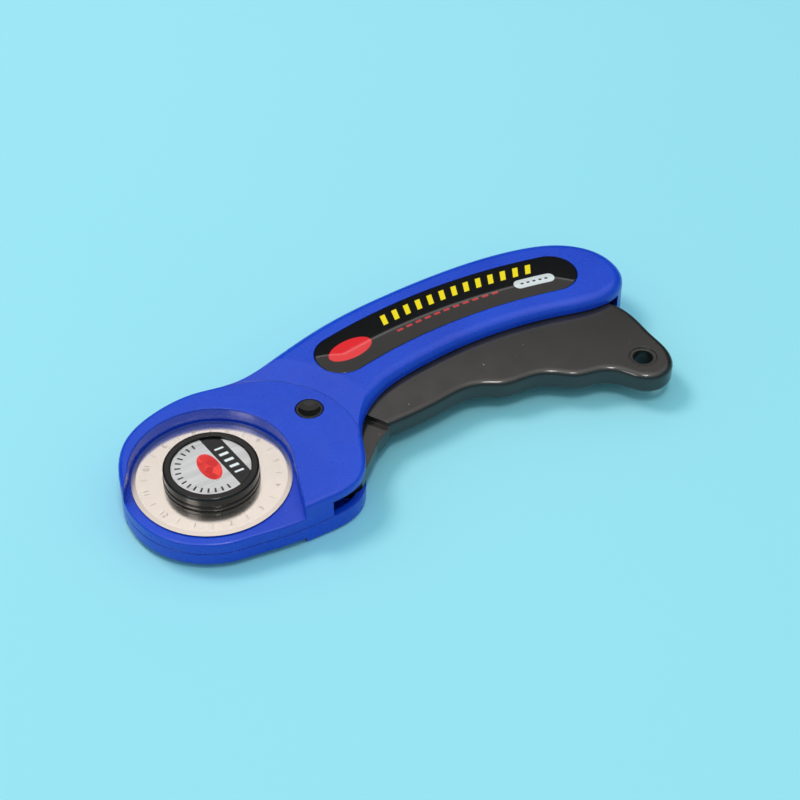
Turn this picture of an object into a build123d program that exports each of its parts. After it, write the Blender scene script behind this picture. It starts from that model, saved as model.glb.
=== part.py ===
from build123d import *
import math
import os

# Rotary cutter lying on its back: 45 mm blade, moulded housing in two halves, squeeze lever.
# The design frame has the blade's axis at x = 0, y = 0 and the rear face at z = 0.
# +X runs along the handle, +Z is the face with the clamping knob.
# Everything moves to the middle of the overall footprint when it is exported.

# ---- driving dimensions, mm ----
BLADE_R = 22.5
BLADE_HOLE_R = 4.0
BLADE_T = 0.3
BLADE_Z = 10.0             # underside of the blade
BEVEL_W = 1.3
BEVEL_T = 0.13

HANDLE_TOP = 15.6
HEAD_TOP = 14.6
PARTING_Z = 6.0
PARTING_GROOVE = 0.15
WALL = 2.2
HANDLE_ROUND = 3.0
HEAD_ROUND = 1.3
RIM_R = 25.4               # guard rim around the lower half of the blade
GUARD_START = 165          # degrees around the blade where the guard meets the head
GUARD_MIDDLE = -145
GUARD_END = -95
INSET_POINTS = 60
RIM_TOP = 9.7
RIM_ROUND = 0.7
WINDOW_ROUND = 0.3
FLOOR_UNDER = 8.0
WINDOW_R = 23.1            # hood wall around the upper half of the blade
WINDOW_FLAT_ANGLE = -18.6  # where the round hood wall runs into its straight part
REAR_WINDOW_Z = 2.2
REAR_FLOOR_TOP = 3.9
STEP_CENTRE = (14.5, -1.5)
STEP_R = 28.8
STEP_HEIGHT = 0.18         # what is left of the step, above it the face ramps up to the handle
RAMP_END_R = 37.5

PIVOT = (33.4, -15.6)
SQUEEZE = 11.0             # degrees from rest to fully squeezed
PIN_R = 2.5
PIN_CLEARANCE = 0.06
HUB_R = 5.8
HUB_GAP = 0.4

LEVER_BOTTOM = 4.5
LEVER_TOP = 11.5
LEVER_ROUND = 1.9
SLOT_BOTTOM = 4.2
SLOT_TOP = 11.8
ARM_BOTTOM = 4.2
ARM_TOP = 7.7
NECK_BOTTOM = 5.0
NECK_TOP = 9.6
HANG_HOLE = (132.4, -19.8)
HANG_HOLE_R = 3.0
HANG_SINK_R = 4.1
HANG_SINK = 0.4

LOCK = (34.5, 6.7)
LOCK_R = 4.0
LOCK_HOLE_R = 4.15
LOCK_TRAVEL = 2.2
LOCK_FLANGE_R = 2.3
LOCK_NECK_R = 1.2
LOCK_NOTCH_R = 2.55
LOCK_SLOT_R = 1.5
CLIP_Z = 9.3
SECTOR_BOTTOM = 5.2
SECTOR_TOP = 7.7

KNOB_R = 13.45
KNOB_BOTTOM = 10.45
KNOB_TOP = 15.0
KNOB_BASE_R = 13.6
KNOB_SPLIT_Z = 11.9        # joint line between the knob's two halves
KNOB_GROOVE = 0.2
KNOB_ROUND = 0.7
KNOB_DISH_R = 11.4
KNOB_DISH_Z = 14.0
KNOB_LABEL_R = 11.2
KNOB_LABEL_T = 0.3
WASHER_POCKET_R = 8.2
WASHER_POCKET_TOP = 11.1
NUT_FLATS = 10.0
NUT_BOTTOM = 11.5
NUT_TOP = 13.3
BOLT_R = 3.0
BOLT_TOP = 13.2
BOLT_GAP = 0.4
BOLT_HEAD_R = 6.0
COLLAR_R = 4.6
COLLAR_SLOT_R = 5.1

LABEL_DEPTH = 0.5
LABEL_WIDTH = 16.8
LABEL_GAP = 0.15
LABEL_CROWN = 0.35
LABEL_FILM = 0.2
LABEL_ARC = [(53.4, 21.6), (90.2, 26.0), (126.8, 22.2)]

HANDLE_SCREWS = [(140.3, 22.0), (100.0, 34.6), (47.5, 22.5)]
HEAD_SCREWS = [(15.6, 23.6), (20.4, -22.6)]
SCREW_SPOTS = HANDLE_SCREWS + HEAD_SCREWS
BOSS_R = 3.1
SCREW_R = 1.1
SCREW_CLEAR_R = 1.5
SCREW_HEAD_R = 2.5
SCREW_SINK_R = 2.75
SCREW_SINK = 2.9
SCREW_END = 11.0

SPRING_X = 64.0
SPRING_Z = 8.0
SPRING_COIL_R = 3.0
SPRING_WIRE_R = 0.4
SPRING_TURNS = 8
SPRING_LOW_Y = 14.3
SPRING_HIGH_Y = 35.6


# ---- helpers ----
def polar(radius, angle, centre=(0, 0)):
    turn = math.radians(angle)
    return (centre[0] + radius * math.cos(turn), centre[1] + radius * math.sin(turn))


def clockwise(angle):
    """Direction of travel at a point of a circle, going clockwise."""
    return polar(1.0, angle - 90)


def disc(radius, z0, z1, centre=(0, 0)):
    return Pos(centre[0], centre[1], z0) * extrude(Circle(radius), z1 - z0)


def prism(face, z0, z1):
    return Pos(0, 0, z0) * extrude(face, z1 - z0)


def polygon(*points):
    return make_face(Polyline(*points, close=True))


def block(x0, y0, z0, x1, y1, z1):
    return Pos((x0 + x1) / 2, (y0 + y1) / 2, (z0 + z1) / 2) * Box(x1 - x0, y1 - y0, z1 - z0)


def edges_at(solid, z):
    return solid.edges().filter_by_position(Axis.Z, z - 0.001, z + 0.001)


# ---- outlines seen from above ----
def flowing(points, start, end):
    """Smooth curve through points, leaving and arriving in the given directions."""
    return Spline(*points, tangents=[start, end], tangent_scalars=[1, 1])


def guard_arc(radius):
    return ThreePointArc(polar(radius, GUARD_END), polar(radius, GUARD_MIDDLE), polar(radius, GUARD_START))


def back_curve():
    """Swelling head, curved handle and hollow underside, from one end of the guard to the other."""
    start = polar(RIM_R, GUARD_START)
    end = polar(RIM_R, GUARD_END)
    return flowing([
        start, (-16.5, 21.6), (-2.1, 28.6), (8.8, 29.6), (20.5, 28.0), (33.8, 30.9), (55.0, 37.1),
        (80.0, 40.4), (104.0, 41.0), (125.2, 38.6), (138.5, 33.4), (145.9, 25.1), (147.6, 16.6),
        (146.1, 11.0), (141.3, 6.5), (133.5, 5.0), (120.0, 7.5), (104.0, 9.9), (88.0, 10.2),
        (72.0, 8.5), (59.0, 5.3), (51.0, 0.7), (45.2, -5.3), (41.7, -12.0), (38.7, -18.8),
        (34.6, -23.9), (29.0, -26.4), (22.0, -27.0), (9.0, -26.7), end],
        clockwise(GUARD_START), clockwise(GUARD_END))


def outer_outline():
    return make_face(guard_arc(RIM_R) + back_curve())


def inset_outline(depth):
    """The same course as the outer outline, a given depth further in."""
    back = back_curve()
    points = []
    for step in range(INSET_POINTS + 1):
        spot = back @ (step / INSET_POINTS)
        travel = back % (step / INSET_POINTS)
        points.append((spot.X + depth * travel.Y, spot.Y - depth * travel.X))
    return make_face(
        guard_arc(RIM_R - depth) + flowing(points, clockwise(GUARD_START), clockwise(GUARD_END)))


def window_outline(grow=0.0):
    """Open area over the blade: round above, straight beside the head, open below."""
    radius = WINDOW_R + grow
    out = (math.cos(math.radians(WINDOW_FLAT_ANGLE)), math.sin(math.radians(WINDOW_FLAT_ANGLE)))
    right = polar(radius, WINDOW_FLAT_ANGLE)
    left = polar(radius, 155)
    along = (out[1], -out[0])
    right_end = (right[0] + 40 * along[0], right[1] + 40 * along[1])
    left_mid = (-25.2 + 0.2 * grow, 3.4 + grow)
    left_end = (-45.0, 3.4 + grow)
    bow = ThreePointArc(left, polar(radius, 70), right)
    rest = Polyline(right, right_end, (-45.0, right_end[1]), left_end, left_mid, left)
    return make_face(bow + rest)


def head_zone():
    """Area of the lower front face, bounded by the arc step towards the handle."""
    zone = Pos(STEP_CENTRE[0], STEP_CENTRE[1]) * Circle(STEP_R)
    zone += Pos(-12, 0) * Rectangle(60, 160)
    zone += Pos(10, -50) * Rectangle(160, 80)
    return zone


def step_ramp():
    """Material above the shallow cone that leads from the arc step up to the handle's face."""
    low = HEAD_TOP + STEP_HEIGHT
    side = polygon((STEP_R - 1, low), (STEP_R, low), (RAMP_END_R, HANDLE_TOP), (STEP_R - 1, HANDLE_TOP))
    return Pos(STEP_CENTRE[0], STEP_CENTRE[1]) * revolve(Plane.XZ * side, Axis.Z)


def lever_gap(start_x, start_y):
    """Lower side of the handle, where the lever passes through the wall."""
    return polygon(
        (start_x, -40), (start_x, start_y), (35, -19.6), (37.2, -12), (41, -3), (47, 6), (56, 11),
        (70, 14), (90, 15.5), (110, 14.5), (125, 11.6), (134, 10.6), (141.6, 10.6), (141.6, -40))


def lever_grip_outline():
    """Finger-grooved edge, round tail with the hanging hole, and the edge inside the handle."""
    fingers = flowing([
        (53.0, -7.2), (60.0, -7.0), (67.0, -6.5), (74.0, -5.6), (80.5, -5.1), (85.5, -6.5),
        (90.5, -9.2), (96.0, -10.0), (102.0, -10.8), (106.5, -13.3), (110.8, -16.6),
        (115.5, -17.9), (119.6, -19.0), (123.3, -22.0), (126.2, -26.2), (131.6, -29.2),
        (137.6, -27.4), (140.9, -21.5), (141.0, -12.0), (141.0, -3.0), (139.8, 3.0)],
        (1, 0.03), (-0.35, 0.94))
    inside = flowing([
        (139.8, 3.0), (136.0, 8.6), (120.0, 11.6), (100.0, 14.2), (84.0, 14.3), (66.0, 12.0),
        (55.0, 7.6), (47.6, 1.5)], (-0.35, 0.94), (-0.75, -0.66))
    front = Polyline((47.6, 1.5), (53.0, -7.2))
    return make_face(fingers + inside + front)


# ---- housing ----
def rounded_blank(z_flat, z_round, radius):
    """Whole outline between two heights: rounded edge at z_round, half the parting groove at z_flat."""
    blank = prism(outer_outline(), min(z_flat, z_round), max(z_flat, z_round))
    toward = math.copysign(PARTING_GROOVE, z_round - z_flat)
    rebate = prism(outer_outline() - inset_outline(PARTING_GROOVE),
                   min(z_flat, z_flat + toward), max(z_flat, z_flat + toward))
    return fillet(edges_at(blank, z_round), radius) - rebate


def front_shell():
    inner = inset_outline(WALL)
    zone = head_zone()
    shell = rounded_blank(PARTING_Z, HEAD_TOP, HEAD_ROUND) & prism(zone, 0, HANDLE_TOP)
    shell += rounded_blank(PARTING_Z, HANDLE_TOP, HANDLE_ROUND) - prism(zone, 0, HANDLE_TOP)
    shell -= step_ramp()
    walled_window = window_outline(WALL - 0.2)
    shell -= prism(inner - zone, PARTING_Z, HANDLE_TOP - WALL)
    shell -= prism((inner & zone) - walled_window, PARTING_Z, HEAD_TOP - WALL)
    shell -= prism(inner, PARTING_Z, FLOOR_UNDER)
    shell += lock_guides()
    shell += spring_post()
    for spot in HANDLE_SCREWS:
        shell += disc(BOSS_R, PARTING_Z, HANDLE_TOP - WALL + 0.2, spot)
    for spot in HEAD_SCREWS:
        shell += disc(BOSS_R, PARTING_Z, HEAD_TOP - WALL + 0.2, spot)
    shell += disc(HUB_R, SLOT_TOP, HEAD_TOP - WALL, PIVOT)
    shell -= prism(lever_gap(24.0, -23.0), PARTING_Z - 1, SLOT_TOP)
    shell -= prism(window_outline(), RIM_TOP, HEAD_TOP + 1)
    shell = fillet(rim_edges(shell), RIM_ROUND)
    shell = fillet(window_edges(shell), WINDOW_ROUND)
    shell -= collar_slot()
    for spot in SCREW_SPOTS:
        shell -= disc(SCREW_R, PARTING_Z - 1, SCREW_END, spot)
    shell -= disc(PIN_R, PARTING_Z, 13.0, PIVOT)
    shell -= disc(LOCK_HOLE_R, PARTING_Z, HEAD_TOP + 1, LOCK)
    recess = SlotArc(ThreePointArc(*LABEL_ARC), LABEL_WIDTH)
    shell -= prism(recess, HANDLE_TOP - LABEL_DEPTH, HANDLE_TOP + 1)
    return shell


def rim_edges(shell):
    """Outer edge of the rim around the blade."""
    return [edge for edge in edges_at(shell, RIM_TOP)
            if edge.geom_type == GeomType.CIRCLE and abs(edge.radius - RIM_R) < 0.01]


def window_edges(shell):
    """Upper edge of the hood wall, round the upper half of the blade."""
    return [edge for edge in edges_at(shell, HEAD_TOP)
            if edge.geom_type == GeomType.CIRCLE and abs(edge.radius - WINDOW_R) < 0.01]


def collar_slot():
    """Curved slot in the floor under the blade, swept by the blade's collar."""
    reach = math.hypot(*PIVOT)
    rest = math.degrees(math.atan2(-PIVOT[1], -PIVOT[0]))
    ends = [polar(reach, rest + turn, PIVOT) for turn in (0, SQUEEZE / 2, SQUEEZE)]
    path = SlotArc(ThreePointArc(*ends), 2 * COLLAR_SLOT_R)
    return prism(path, FLOOR_UNDER - 1, RIM_TOP + 1)


def lock_guides():
    """Two short ribs that hold the detent clip under the front face."""
    ribs = block(LOCK[0] - 5.0, LOCK[1] + 5.2, CLIP_Z - 0.8, LOCK[0] + 5.0, LOCK[1] + 7.0, HEAD_TOP - 1)
    ribs += block(LOCK[0] - 5.0, LOCK[1] - 7.4, CLIP_Z - 0.8, LOCK[0] + 5.0, LOCK[1] - 5.6, HEAD_TOP - 1)
    return ribs


def spring_post():
    """Rib and peg inside the back of the handle that seat the return spring."""
    rib = block(SPRING_X - 3.6, SPRING_HIGH_Y, PARTING_Z, SPRING_X + 3.6, 37.4, HANDLE_TOP - WALL + 0.2)
    peg = Pos(SPRING_X, SPRING_HIGH_Y, SPRING_Z) * Rot(90, 0, 0) * Cylinder(
        2.2, 3.0, align=(Align.CENTER, Align.CENTER, Align.MIN))
    return rib + (peg & block(SPRING_X - 4, 20, PARTING_Z, SPRING_X + 4, 40, 12))


def rear_shell():
    shell = rounded_blank(PARTING_Z, 0, HEAD_ROUND)
    inner = inset_outline(WALL)
    walled_window = window_outline(WALL - 0.2)
    shell -= prism(inner - walled_window, WALL, PARTING_Z)
    shell -= prism(inner, REAR_FLOOR_TOP, PARTING_Z)
    for spot in SCREW_SPOTS:
        shell += disc(SCREW_SINK_R + 1.0, 0.4, PARTING_Z, spot) & prism(outer_outline(), 0, PARTING_Z)
    shell += disc(HUB_R, 1, REAR_FLOOR_TOP, PIVOT)
    shell -= prism(lever_gap(37.4, -20.4), SLOT_BOTTOM, PARTING_Z + 1)
    shell -= disc(HUB_R + HUB_GAP, REAR_FLOOR_TOP, PARTING_Z + 1, PIVOT)
    shell -= prism(window_outline(), -1, REAR_WINDOW_Z)
    for spot in SCREW_SPOTS:
        shell -= disc(SCREW_CLEAR_R, -1, PARTING_Z + 1, spot)
        shell -= disc(SCREW_SINK_R, -1, SCREW_SINK, spot)
    shell -= disc(PIN_R, 1.2, PARTING_Z, PIVOT)
    shell -= disc(LOCK_HOLE_R, -1, PARTING_Z, LOCK)
    return shell


def label_plan():
    return SlotArc(ThreePointArc(*LABEL_ARC), LABEL_WIDTH - 2 * LABEL_GAP)


def handle_label():
    """Printed film on the floor of the handle's recess."""
    base = HANDLE_TOP - LABEL_DEPTH
    return prism(label_plan(), base, base + LABEL_FILM)


def label_dome():
    """Clear cast layer with a crowned edge, bonded on top of the printed film."""
    top = HANDLE_TOP + LABEL_CROWN
    plate = prism(label_plan(), HANDLE_TOP - LABEL_DEPTH + LABEL_FILM, top)
    return fillet(edges_at(plate, top), LABEL_CROWN + 0.2)


def shell_screw(spot):
    """Pan-head self-tapping screw with a cross recess, driven from the rear."""
    head_bottom = 1.0
    screw = disc(SCREW_HEAD_R, head_bottom, SCREW_SINK, spot)
    screw = fillet(edges_at(screw, head_bottom), 0.7)
    screw += disc(SCREW_R, SCREW_SINK, SCREW_END - 0.2, spot)
    for turn in (0, 90):
        slot = Pos(spot[0], spot[1], head_bottom) * Rot(0, 0, turn) * Box(3.0, 0.7, 1.8)
        screw -= slot
    return screw


def shell_screws():
    return Compound(children=[shell_screw(spot) for spot in SCREW_SPOTS])


# ---- lever ----
def trigger_lever():
    grip = prism(lever_grip_outline(), LEVER_BOTTOM, LEVER_TOP)
    rims = edges_at(grip, LEVER_TOP) + edges_at(grip, LEVER_BOTTOM)
    soft = [e for e in rims if not is_front_edge(e)]
    grip = fillet(soft, LEVER_ROUND)
    neck = prism(polygon((30.0, -11.0), (36.4, -20.5), (41.0, -16.4), (46.7, -11.0), (54.0, -6.6),
                         (60.0, -5.0), (60.0, 8.0), (52.0, 4.0), (44.0, -0.6), (38.6, -7.0)),
                 NECK_BOTTOM, NECK_TOP)
    hub = disc(HUB_R, ARM_BOTTOM, LEVER_TOP, PIVOT)
    lever = grip + neck + hub + blade_arm() + lock_sector()
    lever -= disc(PIN_R + PIN_CLEARANCE, 0, LEVER_TOP + 1, PIVOT)
    lever -= lock_slot()
    lever -= bolt_seat()
    lever -= disc(HANG_HOLE_R, LEVER_BOTTOM - 1, LEVER_TOP + 1, HANG_HOLE)
    lever -= disc(HANG_SINK_R, LEVER_TOP - HANG_SINK, LEVER_TOP + 1, HANG_HOLE)
    lever -= disc(HANG_SINK_R, LEVER_BOTTOM - 1, LEVER_BOTTOM + HANG_SINK, HANG_HOLE)
    return lever + spring_peg()


def is_front_edge(edge):
    """The straight cut where the thick grip steps down to the neck."""
    middle = edge @ 0.5
    return abs(middle.X - 50.3) < 0.2 and abs(middle.Y + 2.85) < 0.2


def blade_arm():
    """Flat arm from the pivot to the round seat that carries the blade bolt."""
    reach = math.hypot(*PIVOT)
    angle = math.degrees(math.atan2(PIVOT[1], PIVOT[0]))
    beam = Rot(0, 0, angle) * block(0, -5.0, ARM_BOTTOM, reach, 5.0, ARM_TOP)
    return beam + disc(8.0, ARM_BOTTOM, ARM_TOP)


def lock_sector():
    """Plate beside the pivot that the safety lock reaches through."""
    return prism(polygon((29.0, -14.0), (23.5, 4.0), (26.5, 10.6), (34.0, 12.2), (43.5, 11.0),
                         (47.0, 5.0), (44.0, -3.0)), SECTOR_BOTTOM, SECTOR_TOP)


def lock_slot():
    """Keyhole slot around the pivot: a notch at rest and one fully squeezed, joined by a gap."""
    reach = math.hypot(LOCK[0] - PIVOT[0], LOCK[1] - PIVOT[1])
    rest = math.degrees(math.atan2(LOCK[1] - PIVOT[1], LOCK[0] - PIVOT[0]))
    spots = [polar(reach, rest - turn, PIVOT) for turn in (0, SQUEEZE / 2, SQUEEZE)]
    slot = prism(SlotArc(ThreePointArc(*spots), 2 * LOCK_SLOT_R), SECTOR_BOTTOM - 1, SECTOR_TOP + 3)
    slot += disc(LOCK_NOTCH_R, SECTOR_BOTTOM - 1, SECTOR_TOP + 3, spots[0])
    slot += disc(LOCK_NOTCH_R, SECTOR_BOTTOM - 1, SECTOR_TOP + 3, spots[2])
    return slot


def bolt_seat():
    """Bore for the bolt with a square socket and a sunk seat for its head."""
    seat = disc(BOLT_R, ARM_BOTTOM - 1, ARM_TOP + 1)
    seat += prism(Rectangle(2 * BOLT_R, 2 * BOLT_R), ARM_BOTTOM, 6.2)
    seat += disc(BOLT_HEAD_R, ARM_BOTTOM - 1, 5.2)
    return seat


def spring_peg():
    pad = block(SPRING_X - 3.6, 9.0, LEVER_BOTTOM + 0.5, SPRING_X + 3.6, SPRING_LOW_Y, LEVER_TOP - 0.5)
    peg = Pos(SPRING_X, SPRING_LOW_Y, SPRING_Z) * Rot(-90, 0, 0) * Cylinder(
        2.2, 3.0, align=(Align.CENTER, Align.CENTER, Align.MIN))
    return pad + peg


def pivot_pin():
    pin = disc(PIN_R, 1.2, 13.0, PIVOT)
    return chamfer(edges_at(pin, 1.2) + edges_at(pin, 13.0), 0.4)


def return_spring():
    """Compression spring between the lever and the back of the handle."""
    length = SPRING_HIGH_Y - SPRING_LOW_Y - 2 * SPRING_WIRE_R
    coil = Helix(length / SPRING_TURNS, length, SPRING_COIL_R)
    section = Plane(coil @ 0, z_dir=coil % 0) * Circle(SPRING_WIRE_R)
    spring = sweep(section, path=coil)
    return Pos(SPRING_X, SPRING_LOW_Y + SPRING_WIRE_R + 0.05, SPRING_Z) * Rot(-90, 0, 0) * spring


# ---- safety lock ----
def lock_button():
    """Dished push button with the collar that drops into the lever's notch."""
    button = disc(LOCK_R, HEAD_TOP - 2.0, HEAD_TOP, LOCK)
    button = fillet(edges_at(button, HEAD_TOP), 0.2)
    dish_r = 9.0
    button -= Pos(LOCK[0], LOCK[1], HEAD_TOP + dish_r - 0.6) * Sphere(dish_r)
    button += disc(LOCK_FLANGE_R, SECTOR_TOP + 0.4, HEAD_TOP - 2.0, LOCK)
    button += disc(LOCK_NECK_R, 3.4, SECTOR_TOP + 0.4, LOCK)
    return button


def lock_cap():
    """Rear end of the lock, pressed on to the neck of the button, flush with the rear when pushed in."""
    bottom = LOCK_TRAVEL + 0.1
    cap = disc(LOCK_R, bottom, bottom + 2.1, LOCK)
    cap = fillet(edges_at(cap, bottom), 0.4)
    return cap - disc(LOCK_NECK_R, bottom + 1.1, bottom + 3, LOCK)


def lock_detent_clip():
    """Bent wire whose two legs grip the button's collar and hold it in or out."""
    wire_r = 0.35
    leg = LOCK_FLANGE_R + wire_r + 0.03
    z = CLIP_Z
    y0 = LOCK[1] - 5.1
    y1 = LOCK[1] + 4.7
    bend = 1.2
    path = FilletPolyline((LOCK[0] - leg, y0, z), (LOCK[0] - leg, y1, z), (LOCK[0] + leg, y1, z),
                          (LOCK[0] + leg, y0, z), radius=bend)
    section = Plane(path @ 0, z_dir=path % 0) * Circle(wire_r)
    return sweep(section, path=path)


# ---- blade group ----
def blade():
    edge_z = (BLADE_T - 2 * BEVEL_T) / 2
    profile = Polyline(
        (BLADE_HOLE_R, 0), (BLADE_R - BEVEL_W, 0), (BLADE_R, BEVEL_T), (BLADE_R, BEVEL_T + 2 * edge_z),
        (BLADE_R - BEVEL_W, BLADE_T), (BLADE_HOLE_R, BLADE_T), close=True)
    return Pos(0, 0, BLADE_Z) * revolve(Plane.XZ * make_face(profile), Axis.Z)


def blade_bolt():
    """Flat-headed bolt, kept from turning by a square neck in the lever's arm."""
    bolt = disc(BOLT_HEAD_R - 0.1, ARM_BOTTOM + 0.1, 5.2)
    bolt += prism(Rectangle(2 * BOLT_R, 2 * BOLT_R), 5.2, 6.2)
    bolt += disc(BOLT_R, 6.2, BOLT_TOP)
    return chamfer(edges_at(bolt, BOLT_TOP), 0.4)


def blade_collar():
    """Shouldered bush that spaces the blade from the arm and centres it."""
    bush = disc(COLLAR_R, ARM_TOP, BLADE_Z)
    bush += disc(BLADE_HOLE_R - 0.05, BLADE_Z, BLADE_Z + BLADE_T)
    return bush - disc(BOLT_R, ARM_TOP - 1, BLADE_Z + 1)


def wave_washer():
    """Thin ring bent about one diameter, which loads the blade under the knob."""
    low = BLADE_Z + BLADE_T + 0.02
    sag = 0.32
    thick = 0.25
    half = 7.5
    under = ThreePointArc((-half, low), (0, low + sag), (half, low))
    over = ThreePointArc((half, low + thick), (0, low + sag + thick), (-half, low + thick))
    sides = [Line((half, low), (half, low + thick)), Line((-half, low + thick), (-half, low))]
    sheet = extrude(Plane.XZ * make_face(under + over + sides), half, both=True)
    return sheet & (disc(half, low - 1, low + 2) - disc(BLADE_HOLE_R + 0.3, low - 1, low + 2))


def clamp_knob():
    """Upper half of the round knob, with a raised rim around the label."""
    knob = disc(KNOB_R, KNOB_SPLIT_Z, KNOB_TOP)
    knob = fillet(edges_at(knob, KNOB_TOP), KNOB_ROUND)
    knob = chamfer(edges_at(knob, KNOB_SPLIT_Z), KNOB_GROOVE)
    knob -= disc(KNOB_DISH_R, KNOB_DISH_Z, KNOB_TOP + 1)
    knob -= nut_body(KNOB_SPLIT_Z - 1, NUT_TOP)
    return knob - disc(BOLT_R + BOLT_GAP, KNOB_SPLIT_Z, BOLT_TOP + BOLT_GAP)


def knob_base():
    """Lower plate of the knob: it traps the nut and holds the wave washer."""
    base = disc(KNOB_BASE_R, KNOB_BOTTOM, KNOB_SPLIT_Z)
    base = fillet(edges_at(base, KNOB_BOTTOM), 0.3)
    base = chamfer(edges_at(base, KNOB_SPLIT_Z), KNOB_GROOVE)
    base -= disc(WASHER_POCKET_R, KNOB_BOTTOM - 1, WASHER_POCKET_TOP)
    base -= nut_body(NUT_BOTTOM, NUT_TOP)
    return base - disc(BOLT_R + BOLT_GAP, KNOB_BOTTOM - 1, KNOB_SPLIT_Z)


def nut_body(z0, z1):
    return prism(RegularPolygon(NUT_FLATS / 2, 6, major_radius=False), z0, z1)


def knob_nut():
    """Brass hexagon nut moulded into the knob."""
    return nut_body(NUT_BOTTOM, NUT_TOP) - disc(BOLT_R + PIN_CLEARANCE, NUT_BOTTOM - 1, NUT_TOP + 1)


def knob_label():
    return disc(KNOB_LABEL_R, KNOB_DISH_Z, KNOB_DISH_Z + KNOB_LABEL_T)


# ---- export ----
def all_parts():
    makers = [
        front_shell, rear_shell, handle_label, label_dome, shell_screws, trigger_lever, pivot_pin,
        return_spring, lock_button, lock_cap, lock_detent_clip, blade, blade_bolt, blade_collar,
        wave_washer, clamp_knob, knob_base, knob_nut, knob_label]
    return {maker.__name__: maker() for maker in makers}


def footprint_centre(parts):
    boxes = [part.bounding_box() for part in parts.values()]
    x_mid = (min(b.min.X for b in boxes) + max(b.max.X for b in boxes)) / 2
    y_mid = (min(b.min.Y for b in boxes) + max(b.max.Y for b in boxes)) / 2
    return x_mid, y_mid


def main():
    os.makedirs("parts", exist_ok=True)
    parts = all_parts()
    x_mid, y_mid = footprint_centre(parts)
    for name, part in parts.items():
        export_step(Pos(-x_mid, -y_mid, 0) * part, f"parts/{name}.step")
    print("design frame to export frame: subtract", round(x_mid, 4), round(y_mid, 4))


main()
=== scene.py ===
import math

import bmesh
import bpy
from mathutils import Matrix, Vector

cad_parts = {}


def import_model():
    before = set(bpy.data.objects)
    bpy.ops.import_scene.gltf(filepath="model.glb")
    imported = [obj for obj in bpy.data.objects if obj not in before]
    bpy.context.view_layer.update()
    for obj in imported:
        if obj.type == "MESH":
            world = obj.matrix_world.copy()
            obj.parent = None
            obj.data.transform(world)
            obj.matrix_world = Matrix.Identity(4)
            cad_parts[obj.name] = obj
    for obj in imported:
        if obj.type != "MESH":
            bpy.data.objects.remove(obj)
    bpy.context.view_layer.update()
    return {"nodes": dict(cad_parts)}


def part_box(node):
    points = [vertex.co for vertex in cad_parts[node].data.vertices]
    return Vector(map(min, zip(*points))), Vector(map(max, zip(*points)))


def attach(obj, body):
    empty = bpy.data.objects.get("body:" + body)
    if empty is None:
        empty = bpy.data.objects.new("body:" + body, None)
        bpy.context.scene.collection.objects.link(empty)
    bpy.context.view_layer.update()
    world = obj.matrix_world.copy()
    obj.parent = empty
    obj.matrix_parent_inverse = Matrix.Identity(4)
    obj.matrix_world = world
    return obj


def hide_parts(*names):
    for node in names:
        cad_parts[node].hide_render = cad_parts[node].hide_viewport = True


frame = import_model()

MM = 0.001
blade_lo, blade_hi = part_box("blade")
AXIS = (blade_lo + blade_hi) / 2             # middle of the blade
DESIGN = Vector((AXIS.x, AXIS.y, 0.0))       # blade axis on the ground: lengths below are from here


def at(x, y, z=0.0):
    """Point given in millimetres from the blade's axis."""
    return DESIGN + Vector((x, y, z)) * MM


def new_object(name, data):
    obj = bpy.data.objects.new(name, data)
    bpy.context.collection.objects.link(obj)
    return obj


def mesh_object(name, bm):
    """Object made from a finished bmesh, which is freed."""
    mesh = bpy.data.meshes.new(name)
    bm.to_mesh(mesh)
    bm.free()
    return new_object(name, mesh)


# ---- node helpers ----
NOISE_SPAN = (0.3, 0.7)                      # nearly all values of a noise texture lie in here


class Nodes:
    """Small wrapper that keeps the code of a node tree short."""

    def __init__(self, tree):
        self.tree = tree

    def node(self, kind, **settings):
        node = self.tree.nodes.new(kind)
        for key, value in settings.items():
            setattr(node, key, value)
        return node

    def put(self, value, socket):
        if isinstance(value, bpy.types.NodeSocket):
            self.tree.links.new(value, socket)
        else:
            socket.default_value = value

    def math(self, operation, *values):
        node = self.node("ShaderNodeMath", operation=operation)
        for value, socket in zip(values, node.inputs):
            self.put(value, socket)
        return node.outputs[0]

    def length(self, x, y):
        """Distance that x and y make together."""
        return self.math("SQRT", self.math("ADD", self.math("POWER", x, 2.0),
                                           self.math("POWER", y, 2.0)))

    def spread(self, value, low, high, out_low=0.0, out_high=1.0, **settings):
        node = self.node("ShaderNodeMapRange", **settings)
        for key, number in zip(("From Min", "From Max", "To Min", "To Max"),
                               (low, high, out_low, out_high)):
            node.inputs[key].default_value = number
        self.put(value, node.inputs["Value"])
        return node.outputs[0]

    def mix(self, factor, one, two):
        node = self.node("ShaderNodeMix", data_type="RGBA")
        self.put(factor, node.inputs[0])
        self.put(one, node.inputs[6])
        self.put(two, node.inputs[7])
        return node.outputs[2]


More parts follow.
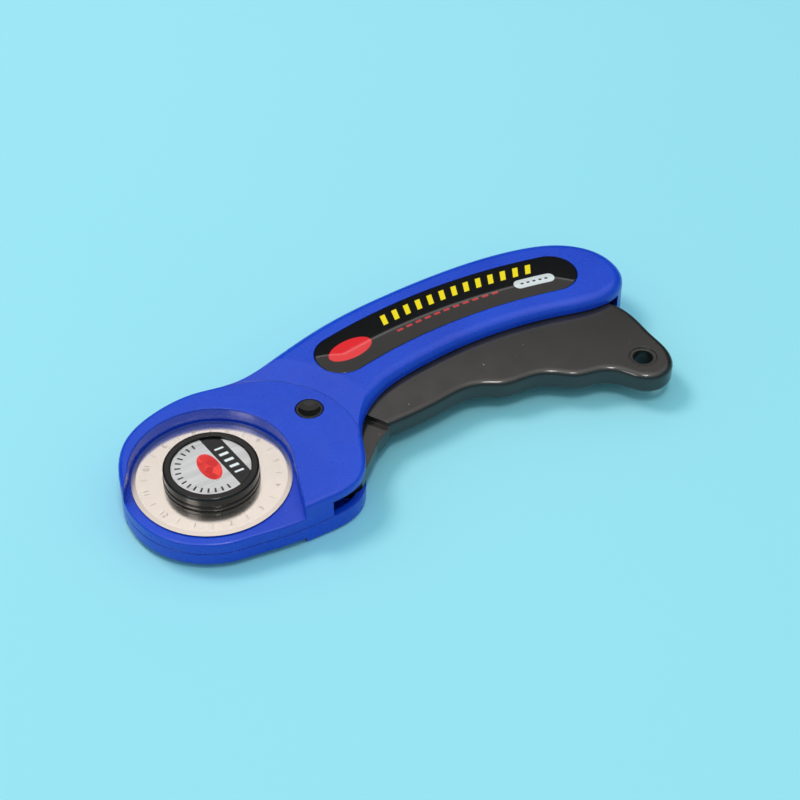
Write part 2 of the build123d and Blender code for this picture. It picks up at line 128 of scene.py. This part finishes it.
class Shader(Nodes):
    """The nodes of a new material, whose patterns are placed in the row frame."""

    def __init__(self, name):
        self.mat = bpy.data.materials.new(name)
        self.mat.use_nodes = True
        super().__init__(self.mat.node_tree)
        self.bsdf = self.tree.nodes["Principled BSDF"]
        self.place = self.node("ShaderNodeTexCoord").outputs["Object"]

    def noise(self, scale, detail=2.0, rough=0.5, stretch=None):
        node = self.node("ShaderNodeTexNoise")
        node.inputs["Scale"].default_value = scale
        node.inputs["Detail"].default_value = detail
        node.inputs["Roughness"].default_value = rough
        source = self.place
        if stretch:
            mapping = self.node("ShaderNodeMapping")
            mapping.inputs["Scale"].default_value = stretch
            self.put(self.place, mapping.inputs["Vector"])
            source = mapping.outputs[0]
        self.put(source, node.inputs["Vector"])
        return node.outputs["Fac"]

    def shades(self, noise, one, two):
        """Colour that wanders between two shades as the noise does."""
        return self.mix(self.spread(noise, *NOISE_SPAN), one, two)

    def offset_from(self, point):
        """X and Y distance from a point in the row frame, in millimetres."""
        split = self.node("ShaderNodeSeparateXYZ")
        self.put(self.place, split.inputs[0])
        x = self.math("MULTIPLY", self.math("SUBTRACT", split.outputs[0], point[0]), 1 / MM)
        y = self.math("MULTIPLY", self.math("SUBTRACT", split.outputs[1], point[1]), 1 / MM)
        return x, y

    def bump(self, height, distance, strength=1.0, rounding=0.0):
        """Fine relief, over edges softened by the given radius."""
        node = self.node("ShaderNodeBump")
        if rounding:
            soft = self.node("ShaderNodeBevel", samples=6)
            soft.inputs["Radius"].default_value = rounding
            self.put(soft.outputs[0], node.inputs["Normal"])
        node.inputs["Strength"].default_value = strength
        node.inputs["Distance"].default_value = distance
        self.put(height, node.inputs["Height"])
        self.put(node.outputs[0], self.bsdf.inputs["Normal"])

    def set(self, **values):
        names = {"color": "Base Color", "rough": "Roughness", "metal": "Metallic",
                 "coat": "Coat Weight", "coat_rough": "Coat Roughness",
                 "specular": "Specular IOR Level", "aniso": "Anisotropic"}
        for key, value in values.items():
            self.put(value, self.bsdf.inputs[names[key]])


def srgb(r, g, b):
    def linear(c):
        c /= 255.0
        return c / 12.92 if c <= 0.04045 else ((c + 0.055) / 1.055) ** 2.4
    return (linear(r), linear(g), linear(b), 1.0)


# ---- materials ----
EDGE_SOFT = 0.4 * MM                         # moulded corners are never quite sharp
MOULD_RELIEF = 0.02 * MM                     # height of the waves and grain on moulded plastic
TOOL_MARKS = 0.004 * MM
GRINDING = 0.002 * MM
DUST = (0.55, 0.52, 0.48, 1.0)
BEVEL_START, BEVEL_FULL = 21.1, 21.25        # radii between which the blade's ground bevel begins


def plastic(name, light, dark, rough_low, rough_high, grain=0.0, specks=0.0, specular=0.5):
    """Moulded plastic: cloudy colour, uneven gloss and a faint grain. Where specks is given, dust
    shows wherever the noise is above it."""
    s = Shader(name)
    color = s.shades(s.noise(55.0, 3.0), dark, light)
    if specks:
        dust = s.spread(s.noise(900.0, 2.0, 0.6), specks, specks + 0.02)
        color = s.mix(dust, color, DUST)
    handled = s.spread(s.noise(120.0, 4.0, 0.6), 0.35, 0.65, rough_low, rough_high)
    s.set(color=color, rough=handled, specular=specular)
    fine = s.math("MULTIPLY", s.noise(2600.0, 2.0, 0.6), grain)
    slow = s.math("MULTIPLY", s.noise(140.0, 1.0), 0.6)
    s.bump(s.math("ADD", fine, slow), MOULD_RELIEF, 0.3, rounding=EDGE_SOFT)
    return s.mat


def metal(name, color, tint, rough_low, rough_high):
    """Machined steel or brass with fine tool marks."""
    s = Shader(name)
    marks = s.noise(900.0, 3.0, 0.6, stretch=(1.0, 1.0, 0.08))
    s.set(color=s.shades(s.noise(160.0, 3.0), color, tint), metal=1.0,
          rough=s.spread(marks, *NOISE_SPAN, rough_low, rough_high))
    s.bump(marks, TOOL_MARKS, 0.6)
    return s.mat


housing_mat = plastic("housing_blue", srgb(12, 66, 196), srgb(9, 59, 186), 0.24, 0.32, grain=0.1)
lever_mat = plastic("lever_charcoal", srgb(38, 35, 34), srgb(32, 30, 29), 0.15, 0.22,
                    grain=0.1, specks=0.775, specular=0.65)
black_mat = plastic("knob_black", srgb(26, 24, 23), srgb(18, 17, 17), 0.10, 0.18,
                    grain=0.05, specular=0.3)
steel_mat = metal("turned_steel", srgb(190, 190, 192), srgb(165, 165, 170), 0.25, 0.4)
screw_mat = metal("zinc_screws", srgb(178, 180, 186), srgb(150, 152, 160), 0.3, 0.45)
brass_mat = metal("brass_nut", srgb(214, 178, 98), srgb(190, 150, 80), 0.25, 0.4)


def blade_material():
    """Polished tool steel with fine grinding rings and a duller ground bevel."""
    s = Shader("blade_steel")
    x, y = s.offset_from(AXIS)
    radius = s.length(x, y)
    bevel = s.spread(radius, BEVEL_START, BEVEL_FULL)
    rings = s.node("ShaderNodeTexNoise", noise_dimensions="1D")
    rings.inputs["Scale"].default_value = 7.0
    rings.inputs["Detail"].default_value = 5.0
    s.put(radius, rings.inputs["W"])
    face = s.shades(s.noise(70.0, 3.0), srgb(248, 240, 233), srgb(242, 234, 226))
    polish = s.spread(rings.outputs["Fac"], *NOISE_SPAN, 0.17, 0.23)
    s.set(color=s.mix(bevel, face, srgb(226, 216, 208)), metal=1.0, aniso=0.3,
          rough=s.math("ADD", polish, s.math("MULTIPLY", bevel, 0.1)))
    s.bump(rings.outputs["Fac"], GRINDING, 0.4)
    return s.mat


# ---- printed handle label ----
LABEL_POINTS = [(53.4, 21.6), (90.2, 26.0), (126.8, 22.2)]     # start, middle, end of its line
LABEL_HALF = 8.25


def circle_through(a, b, c):
    d = 2 * (a[0] * (b[1] - c[1]) + b[0] * (c[1] - a[1]) + c[0] * (a[1] - b[1]))
    sq = [p[0] ** 2 + p[1] ** 2 for p in (a, b, c)]
    x = (sq[0] * (b[1] - c[1]) + sq[1] * (c[1] - a[1]) + sq[2] * (a[1] - b[1])) / d
    y = (sq[0] * (c[0] - b[0]) + sq[1] * (a[0] - c[0]) + sq[2] * (b[0] - a[0])) / d
    return (x, y), math.hypot(a[0] - x, a[1] - y)


ARC_CENTRE, ARC_R = circle_through(*LABEL_POINTS)
ARC_START, _, ARC_END = (math.atan2(y - ARC_CENTRE[1], x - ARC_CENTRE[0])
                         for x, y in LABEL_POINTS)


def along_label(x, y):
    """Distance along the label's middle line, and across it, of a point."""
    angle = math.atan2(y - ARC_CENTRE[1], x - ARC_CENTRE[0])
    return ((ARC_START - angle) * ARC_R,
            math.hypot(x - ARC_CENTRE[0], y - ARC_CENTRE[1]) - ARC_R)


def inside_box(s, u, v, half_u, half_v, soft=0.06):
    """1 inside a rectangle in the given coordinates, 0 outside."""
    du = s.spread(s.math("ABSOLUTE", u), half_u - soft, half_u + soft, 1.0, 0.0)
    dv = s.spread(s.math("ABSOLUTE", v), half_v - soft, half_v + soft, 1.0, 0.0)
    return s.math("MULTIPLY", du, dv)


def inside_ellipse(s, u, v, a, b, soft=0.02):
    d = s.length(s.math("DIVIDE", u, a), s.math("DIVIDE", v, b))
    return s.spread(d, 1.0 - soft, 1.0 + soft, 1.0, 0.0)


def repeated(s, u, pitch):
    """Distance to the middle of the nearest of evenly spaced marks."""
    shifted = s.math("FLOORED_MODULO", s.math("ADD", u, pitch / 2), pitch)
    return s.math("SUBTRACT", shifted, pitch / 2)


def label_material():
    """Black film printed with a red oval, a row of yellow bars, red dashes and a silver pill.
    The clear resin over it is the coat: at under a millimetre it shifts nothing in view."""
    s = Shader("handle_print")
    x, y = s.offset_from(at(*ARC_CENTRE))
    u = s.math("MULTIPLY", s.math("SUBTRACT", ARC_START, s.math("ARCTAN2", y, x)), ARC_R)
    v = s.math("SUBTRACT", s.length(x, y), ARC_R)

    def from_spot(px, py):
        su, sv = along_label(px, py)
        return s.math("SUBTRACT", u, su), s.math("SUBTRACT", v, sv)

    def row(first, last, across, pitch, half_u, half_v, fence, lean=0.0):
        """Evenly spaced marks between two points' places along the label, cut off at the ends."""
        start_u, _ = along_label(*first)
        end_u, _ = along_label(*last)
        ru = s.math("SUBTRACT", u, (start_u + end_u) / 2)
        rv = s.math("SUBTRACT", v, across)
        leaning = s.math("ADD", ru, s.math("MULTIPLY", rv, lean))
        marks = inside_box(s, repeated(s, leaning, pitch), rv, half_u, half_v)
        return s.math("MULTIPLY", marks, inside_box(s, ru, rv, (end_u - start_u) / 2, fence))

    color = s.shades(s.noise(90.0), srgb(9, 9, 10), srgb(14, 13, 14))
    bars = row((69.0, 30.0), (124.0, 28.0), across=3.6, pitch=4.1, half_u=0.85, half_v=2.1,
               fence=2.2, lean=-0.35)
    color = s.mix(bars, color, srgb(240, 214, 30))
    dashes = row((71.0, 23.0), (109.0, 22.0), across=-2.9, pitch=3.4, half_u=1.05, half_v=0.42,
                 fence=1.0)
    color = s.mix(dashes, color, srgb(186, 34, 40))

    pill_half, pill_r = 4.8, 1.9              # straight part, and the round ends
    pu, pv = from_spot(120.2, 21.3)
    past_straight = s.math("MAXIMUM", s.math("SUBTRACT", s.math("ABSOLUTE", pu), pill_half), 0.0)
    pill = s.spread(s.length(past_straight, pv), pill_r - 0.05, pill_r + 0.05, 1.0, 0.0)
    color = s.mix(pill, color, srgb(206, 208, 210))
    pips = s.math("MULTIPLY", inside_box(s, repeated(s, pu, 2.0), pv, 0.5, 0.35),
                  inside_box(s, pu, pv, 4.6, 1.0))
    color = s.mix(pips, color, srgb(24, 24, 26))

    ou, ov = from_spot(56.3, 22.0)
    tilt = math.radians(-4.0)
    tu = s.math("ADD", s.math("MULTIPLY", ou, math.cos(tilt)),
                s.math("MULTIPLY", ov, math.sin(tilt)))
    tv = s.math("SUBTRACT", s.math("MULTIPLY", ov, math.cos(tilt)),
                s.math("MULTIPLY", ou, math.sin(tilt)))
    color = s.mix(inside_ellipse(s, tu, tv, 7.4, 3.8), color, srgb(222, 38, 44))
    s.set(color=color, rough=0.4, specular=0.1, coat=0.72, coat_rough=0.03)
    s.bump(s.noise(70.0, 1.0), 0.02 * MM, 0.12)
    return s.mat


def arc_points(centre, radius, start, end, steps, ends=True):
    """Points along an arc, with or without its two end points."""
    skip = 0 if ends else 1
    for i in range(skip, steps + 1 - skip):
        a = start + (end - start) * i / steps
        yield centre[0] + radius * math.cos(a), centre[1] + radius * math.sin(a)


DOME_EDGE = 0.28 * MM                        # height of the dome's side
DOME_SHOULDER = 0.12 * MM                    # how far its rounded edge drops
SHOULDER_WIDTH = 0.35


def label_dome():
    """The film and its resin as one form: low at its edge, crowned to the middle line."""
    lo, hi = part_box("label_dome")
    rings = 22
    side_steps = 90
    end_steps = 26
    edge = lo.z + DOME_EDGE
    bm = bmesh.new()

    def ring(half, z):
        points = [*arc_points(ARC_CENTRE, ARC_R + half, ARC_START, ARC_END, side_steps),
                  *arc_points(LABEL_POINTS[2], half, ARC_END, ARC_END - math.pi, end_steps,
                              ends=False),
                  *arc_points(ARC_CENTRE, ARC_R - half, ARC_END, ARC_START, side_steps),
                  *arc_points(LABEL_POINTS[0], half, ARC_START + math.pi, ARC_START, end_steps,
                              ends=False)]
        return [bm.verts.new((DESIGN.x + px * MM, DESIGN.y + py * MM, z)) for px, py in points]

    loops = [ring(LABEL_HALF, lo.z)]
    for k in range(rings):
        inward = k / (rings - 1) * 0.98       # the last ring stays a sliver wide
        half = LABEL_HALF * (1 - inward ** 1.3)
        rise = 1 - (half / LABEL_HALF) ** 2
        shoulder = min(1.0, (LABEL_HALF - half) / SHOULDER_WIDTH)
        shoulder = math.sqrt(1 - (1 - shoulder) ** 2)
        z = edge - DOME_SHOULDER + DOME_SHOULDER * shoulder + (hi.z - edge) * rise
        loops.append(ring(half, z))
    for one, two in zip(loops, loops[1:]):
        n = len(one)
        for i in range(n):
            bm.faces.new((one[i], one[(i + 1) % n], two[(i + 1) % n], two[i]))
    bm.faces.new(loops[-1][::-1])
    bm.faces.new(loops[0])
    bmesh.ops.recalc_face_normals(bm, faces=bm.faces)
    obj = mesh_object("domed_label", bm)
    for poly in obj.data.polygons:
        poly.use_smooth = len(poly.vertices) == 4
    return obj


# ---- knob label ----
BAND_MIDDLE = 5.6                            # the black band, across a slightly turned X
BAND_HALF = 2.6
BAND_TURN = 0.11
TICK_STEP = 12.0                             # degrees between ticks
TICK_R = 9.3


def knob_label_material():
    """Brushed silver film with a black band, white bars, a faceted red oval and a ring of ticks."""
    s = Shader("knob_print")
    x, y = s.offset_from(AXIS)
    brushed = s.noise(500.0, 4.0, 0.65, stretch=(0.05, 1.0, 1.0))
    color = s.shades(brushed, srgb(206, 206, 209), srgb(240, 240, 241))
    turned = s.math("ADD", x, s.math("MULTIPLY", y, BAND_TURN))
    from_band = s.math("SUBTRACT", turned, BAND_MIDDLE)
    band = inside_box(s, from_band, y, BAND_HALF, 30.0, 0.05)
    color = s.mix(band, color, srgb(16, 16, 17))
    bars = s.math("MULTIPLY", inside_box(s, from_band, repeated(s, y, 2.7), 1.35, 0.5),
                  inside_box(s, y, 0.0, 5.6, 1.0))
    color = s.mix(bars, color, srgb(226, 226, 228))
    angle = s.math("MULTIPLY", s.math("ARCTAN2", y, x), 180.0 / math.pi)
    from_tick = s.math("SUBTRACT", s.length(x, y), TICK_R)
    ticks = s.math("MULTIPLY",
                   inside_box(s, repeated(s, angle, TICK_STEP), from_tick, 1.7, 0.85, 0.05),
                   s.spread(turned, 0.4, 0.5, 1.0, 0.0))
    color = s.mix(ticks, color, srgb(34, 34, 36))
    cells = s.node("ShaderNodeTexVoronoi")
    cells.inputs["Scale"].default_value = 480.0
    s.put(s.place, cells.inputs["Vector"])
    facets = s.node("ShaderNodeSeparateColor")
    s.put(cells.outputs["Color"], facets.inputs[0])
    red = s.mix(facets.outputs[0], srgb(196, 14, 18), srgb(240, 60, 52))
    gem = inside_ellipse(s, s.math("ADD", x, 0.4), s.math("ADD", y, -0.1), 3.0, 5.5, 0.03)
    color = s.mix(gem, color, red)
    printed = s.math("MAXIMUM", s.math("MAXIMUM", band, gem), ticks)
    s.set(color=color, metal=s.math("MULTIPLY", s.math("SUBTRACT", 1.0, printed), 0.75),
          rough=s.spread(brushed, *NOISE_SPAN, 0.26, 0.38))
    s.bump(brushed, TOOL_MARKS, 0.4)
    return s.mat


# ---- etched numerals on the blade ----
NUMERALS = 12
NUMERAL_START = -130.0                       # degrees, where the 1 stands
NUMERAL_R = 18.9
NUMERAL_SIZE = 2.5
NUMERAL_THINNING = -0.03
TICK_LENGTH = 1.9
TICK_HALF = 0.07
ETCH_RISE = 0.004


def numeral_mesh(number):
    """Flat outline of a number, standing on its own origin."""
    font = bpy.data.curves.new("numeral", "FONT")
    font.body = str(number)
    font.size = NUMERAL_SIZE * MM
    font.align_x = "CENTER"
    font.align_y = "CENTER"
    font.offset = NUMERAL_THINNING * MM
    font.resolution_u = 3
    holder = new_object("numeral", font)
    shape = bpy.data.meshes.new_from_object(holder)
    bpy.data.objects.remove(holder)
    bpy.data.curves.remove(font)
    return shape


def blade_marks():
    """Twelve small numerals with a tick between them, just proud of the blade's face."""
    middle = Vector((AXIS.x, AXIS.y, blade_hi.z + ETCH_RISE * MM))
    bm = bmesh.new()
    for number in range(1, NUMERALS + 1):
        angle = math.radians(NUMERAL_START + 360.0 / NUMERALS * (number - 1))
        spot = middle + Vector((math.cos(angle), math.sin(angle), 0)) * NUMERAL_R * MM
        shape = numeral_mesh(number)
        start = len(bm.verts)
        bm.from_mesh(shape)
        bm.verts.ensure_lookup_table()
        turn = Matrix.Rotation(angle + math.pi / 2, 4, "Z")
        bmesh.ops.transform(bm, matrix=Matrix.Translation(spot) @ turn, verts=bm.verts[start:])
        bpy.data.meshes.remove(shape)
        between = angle + math.radians(180.0 / NUMERALS)
        across = Vector((-math.sin(between), math.cos(between), 0)) * TICK_HALF * MM
        out = Vector((math.cos(between), math.sin(between), 0))
        low = middle + out * (NUMERAL_R - TICK_LENGTH / 2) * MM
        high = low + out * TICK_LENGTH * MM
        corners = [low - across, high - across, high + across, low + across]
        bm.faces.new([bm.verts.new(c) for c in corners])
    bmesh.ops.recalc_face_normals(bm, faces=bm.faces)
    for face in bm.faces:
        if face.normal.z < 0:
            face.normal_flip()
    return mesh_object("blade_marks", bm)


def etched_material():
    s = Shader("etched_marks")
    s.set(color=s.shades(s.noise(700.0, 3.0), srgb(160, 145, 134), srgb(192, 177, 166)),
          metal=0.8, rough=0.45)
    s.bump(s.noise(5000.0), TOOL_MARKS, 0.5)
    return s.mat


# ---- dress the object ----
def dress(material, *nodes):
    for name in nodes:
        obj = frame["nodes"][name]
        obj.data.materials.clear()
        obj.data.materials.append(material)


def add_piece(obj, material, body, slot, *replaced):
    obj.data.materials.append(material)
    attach(obj, body)
    if replaced:
        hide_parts(*replaced)


dress(housing_mat, "front_shell", "rear_shell")
dress(lever_mat, "trigger_lever")
dress(black_mat, "lock_button", "lock_cap", "clamp_knob", "knob_base")
dress(steel_mat, "pivot_pin", "return_spring", "lock_detent_clip", "blade_bolt", "blade_collar",
      "wave_washer")
dress(screw_mat, "shell_screws")
dress(brass_mat, "knob_nut")
dress(blade_material(), "blade")
dress(knob_label_material(), "knob_label")
add_piece(label_dome(), label_material(), "housing", "label_film", "label_dome", "handle_label")
add_piece(blade_marks(), etched_material(), "blade", "blade")


# ---- floor, light, camera ----
FLOOR_HALF = 2.5
FLOOR_DROP = 0.02 * MM                       # a hair below the rear face that rests on it
FLOOR_A = srgb(149, 216, 230)
FLOOR_B = srgb(153, 219, 232)
YAW = math.radians(30.0)                     # the camera stands turned this far from the object's X
CAMERA_PLACE = (-145.97, -357.71, 399.05)
CAMERA_DOWN = 43.2                           # degrees that it looks down

LOW_LIGHT = (0.12, 0.31, 0.37, 1.0)
DARK_GAP = (0.02, 0.03, 0.035, 1.0)
CREAM_LIGHT = (1.02, 0.97, 0.93, 1.0)
STRIP_LIGHT = (2.9, 2.8, 2.7, 1.0)           # bright line along the gap's upper edge
TOP_LIGHT = (1.7, 1.7, 1.68, 1.0)
SOFT_LIGHT = (0.44, 0.64, 0.68, 1.0)         # what the room gives matt surfaces, and shadows
BACKDROP = (0.33, 0.78, 0.90, 1.0)
GAP_SIDES = (0.3, 0.6)                       # how far towards the back, as a sine, the gap fades in
GAP_TOP = 0.675                              # sine of the height where the dark gap ends
GAP_BLUR = 0.015
TOP_START = (0.86, 0.95)                     # sine of the height where the top light fades in


def floor():
    corners = [(-FLOOR_HALF, -FLOOR_HALF), (FLOOR_HALF, -FLOOR_HALF),
               (FLOOR_HALF, FLOOR_HALF), (-FLOOR_HALF, FLOOR_HALF)]
    bm = bmesh.new()
    bm.faces.new([bm.verts.new((x, y, -FLOOR_DROP)) for x, y in corners])
    obj = mesh_object("floor", bm)
    s = Shader("floor_pale")
    s.set(color=s.mix(s.noise(3.0), FLOOR_A, FLOOR_B), rough=0.75, specular=0.2)
    obj.data.materials.append(s.mat)


def in_view(x, y, z):
    """Point in metres from the object's middle, with x to the camera's right and y away from it."""
    return Vector((x * math.cos(YAW) + y * math.sin(YAW),
                   -x * math.sin(YAW) + y * math.cos(YAW), z))


def softbox(name, place, width, height, power, color, **sight):
    """Rectangular light that faces the object; sight may hide it from one kind of ray."""
    data = bpy.data.lights.new(name, "AREA")
    data.shape = "RECTANGLE"
    data.size = width
    data.size_y = height
    data.energy = power
    data.color = color
    obj = new_object(name, data)
    obj.location = place
    obj.rotation_euler = (-place).to_track_quat("-Z", "Y").to_euler()
    for key, value in sight.items():
        setattr(obj, key, value)


def world():
    """What glossy surfaces reflect is a pale room: bright overhead, cream below that down to a
    bright strip, and under the strip cyan in front and a dark gap behind. Matt surfaces get one
    soft light instead, and the camera sees a plain backdrop."""
    scene_world = bpy.data.worlds.new("studio")
    bpy.context.scene.world = scene_world
    scene_world.use_nodes = True
    n = Nodes(scene_world.node_tree)
    split = n.node("ShaderNodeSeparateXYZ")
    n.put(n.node("ShaderNodeTexCoord").outputs["Generated"], split.inputs[0])

    def step(value, low, high):
        return n.spread(value, low, high, interpolation_type="SMOOTHSTEP")

    up = split.outputs[2]
    away = n.math("ADD", n.math("MULTIPLY", split.outputs[0], math.sin(YAW)),
                  n.math("MULTIPLY", split.outputs[1], math.cos(YAW)))
    low = n.mix(step(away, *GAP_SIDES), LOW_LIGHT, DARK_GAP)
    room = n.mix(step(up, GAP_TOP - GAP_BLUR, GAP_TOP + GAP_BLUR), low, CREAM_LIGHT)
    strip = n.math("SUBTRACT", step(up, GAP_TOP - 0.008, GAP_TOP),
                   step(up, GAP_TOP + 0.002, GAP_TOP + 0.01))
    room = n.mix(strip, room, STRIP_LIGHT)
    room = n.mix(step(up, *TOP_START), room, TOP_LIGHT)
    path = n.node("ShaderNodeLightPath")
    lit = n.mix(path.outputs["Is Glossy Ray"], SOFT_LIGHT, room)
    shown = n.mix(path.outputs["Is Camera Ray"], lit, BACKDROP)
    n.put(shown, n.tree.nodes["Background"].inputs["Color"])


def camera():
    data = bpy.data.cameras.new("camera")
    data.lens = 88.0
    data.sensor_width = 36.0
    data.clip_start = 0.02
    data.clip_end = 20.0
    obj = new_object("camera", data)
    obj.location = at(*CAMERA_PLACE)
    obj.rotation_euler = (math.radians(90.0 - CAMERA_DOWN), 0.0, -YAW)
    bpy.context.scene.camera = obj


floor()
world()
softbox("key_softbox", in_view(-0.75, 0.45, 1.3), width=0.5, height=0.5, power=12.0,
        color=(1.0, 0.74, 0.68), visible_glossy=False)
softbox("front_softbox", in_view(0.1, -0.45, 1.3), width=0.16, height=0.3, power=4.0,
        color=(1.0, 0.98, 0.96))
softbox("side_softbox", in_view(-0.8, -0.78, 1.05), width=0.5, height=0.4, power=3.4,
        color=(1.0, 0.95, 0.9), visible_diffuse=False)
camera()
bpy.context.scene.view_settings.view_transform = "Standard"
